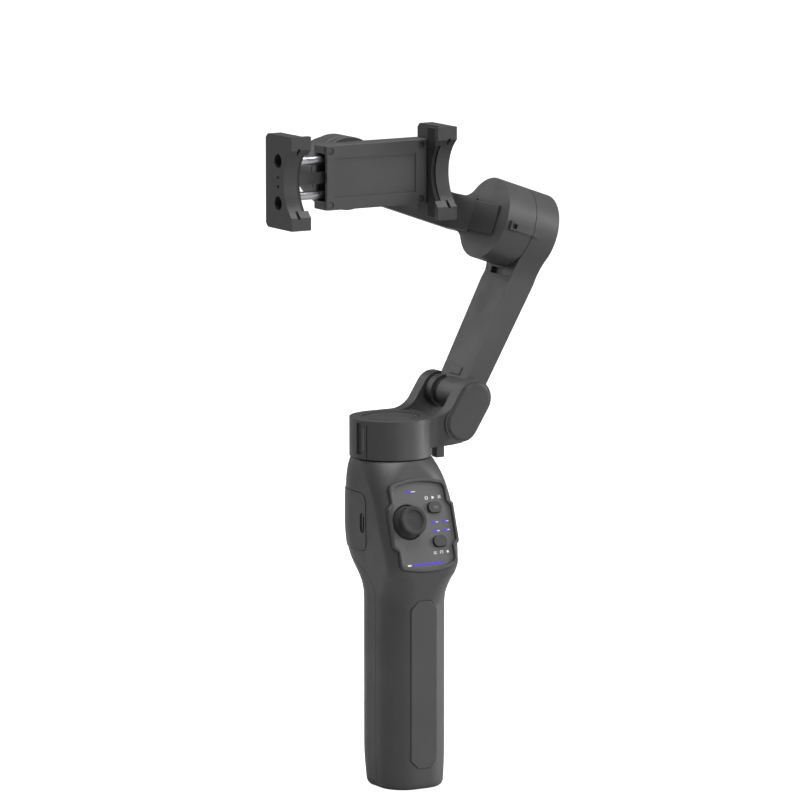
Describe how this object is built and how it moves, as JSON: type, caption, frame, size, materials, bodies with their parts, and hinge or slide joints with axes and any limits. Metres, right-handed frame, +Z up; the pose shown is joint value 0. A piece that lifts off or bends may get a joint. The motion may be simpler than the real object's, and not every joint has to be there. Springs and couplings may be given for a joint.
{
  "type": "phone camera gimbal",
  "caption": "Folding three-axis handheld gimbal with a sprung phone clamp, a joystick panel and a tripod socket in its grip.",
  "frame": {"origin": "centre of the tripod socket's mouth in the handle's bottom face", "axes": "+Z up the handle, -Y towards the user and the control panel, +X to the user's right, where the arm leans"},
  "size_m": [0.1427, 0.0752, 0.3048],
  "materials": {
    "shell": "fine satin texture, dark grey",
    "trim": "smooth satin, dark grey",
    "panel": "satin, mid grey",
    "rubber": "matte black",
    "inner_plastic": "matte black",
    "lights": "lit blue-violet",
    "steel": "machined",
    "winding": "enamelled copper",
    "thread_insert": "machined",
    "cell": "shrink sleeve over a steel can",
    "board": "solder mask"
  },
  "bodies": {
    "handle": {"front_shell": "shell", "rear_grip_shell": "shell", "rear_cover": "trim", "panel_bezel": "trim", "control_panel": "panel", "grip_pad": "trim", "tripod_insert": "thread_insert", "status_lights": "lights", "joystick_base": "inner_plastic", "usb_socket": "steel", "battery": "cell", "battery_cradle": "inner_plastic", "main_board": "board", "shell_screws": "steel", "pan_stator": "steel", "pan_bearings": "steel"},
    "stick_ring": {"joystick_yoke": "steel"},
    "stick": {"joystick_cap": "rubber"},
    "mode_button": {"mode_key": "trim"},
    "record_button": {"record_key": "trim"},
    "pan_arm": {"pan_shaft": "steel", "pan_rotor": "steel", "yaw_arm": "shell", "yaw_top_plate": "trim", "near_hinge_cap": "trim", "far_hinge_cap": "trim", "fold_pin": "steel", "pan_stop": "trim"},
    "upper_arm": {"fold_arm": "shell", "arm_end_cover": "trim", "arm_bumper": "rubber", "tilt_stator": "winding", "tilt_bearing": "steel"},
    "tilt_arm": {"tilt_shaft": "steel", "tilt_bell": "shell", "tilt_rotor": "steel", "tilt_bracket": "shell", "cable_cover": "trim", "storage_lock": "trim", "roll_stator": "shell", "roll_motor_cap": "trim", "roll_bearings": "steel"},
    "clamp": {"roll_shaft": "steel", "roll_rotor": "shell", "clamp_body": "shell", "clamp_cover": "trim", "clamp_screws": "steel", "fixed_jaw": "trim", "fixed_jaw_pad": "rubber", "clamp_spring": "steel"},
    "moving_jaw": {"sliding_jaw": "trim", "sliding_jaw_pad": "rubber", "guide_rods": "steel"}
  },
  "joints": [
    {"name": "pan", "type": "hinge", "parent": "handle", "child": "pan_arm", "pos_m": [0, 0.012, 0.153], "axis": [0, 0, 1], "range_deg": [-160, 160]},
    {"name": "fold", "type": "hinge", "parent": "pan_arm", "child": "upper_arm", "pos_m": [0.0337, 0.012, 0.1788], "axis": [0, 1, 0], "range_deg": [-105, 0]},
    {"name": "tilt", "type": "hinge", "parent": "upper_arm", "child": "tilt_arm", "pos_m": [0.06756, 0.012, 0.25421], "axis": [-0.9421, 0, 0.3355], "range_deg": [-150, 150]},
    {"name": "roll", "type": "hinge", "parent": "tilt_arm", "child": "clamp", "pos_m": [-0.01402, 0.03, 0.28326], "axis": [0, 1, 0], "range_deg": [-160, 160]},
    {"name": "clamp_slide", "type": "slide", "parent": "clamp", "child": "moving_jaw", "axis": [-1, 0, 0], "range_m": [-0.016, 0.018], "deforming": ["clamp_spring"]},
    {"name": "stick_up_down", "type": "hinge", "parent": "handle", "child": "stick_ring", "pos_m": [-0.0074, -0.01225, 0.12478], "axis": [1, 0, 0], "range_deg": [-15, 15], "stiffness_Nm_per_rad": 0.02},
    {"name": "stick_left_right", "type": "hinge", "parent": "stick_ring", "child": "stick", "pos_m": [-0.0074, -0.01225, 0.12478], "axis": [0, 0.3057, 0.9521], "range_deg": [-15, 15], "stiffness_Nm_per_rad": 0.02},
    {"name": "mode_press", "type": "slide", "parent": "handle", "child": "mode_button", "axis": [0, 0.9521, -0.3057], "range_m": [0, 0.0008], "stiffness_N_per_m": 800},
    {"name": "record_press", "type": "slide", "parent": "handle", "child": "record_button", "axis": [0, 0.9521, -0.3057], "range_m": [0, 0.0008], "stiffness_N_per_m": 800}
  ]
}
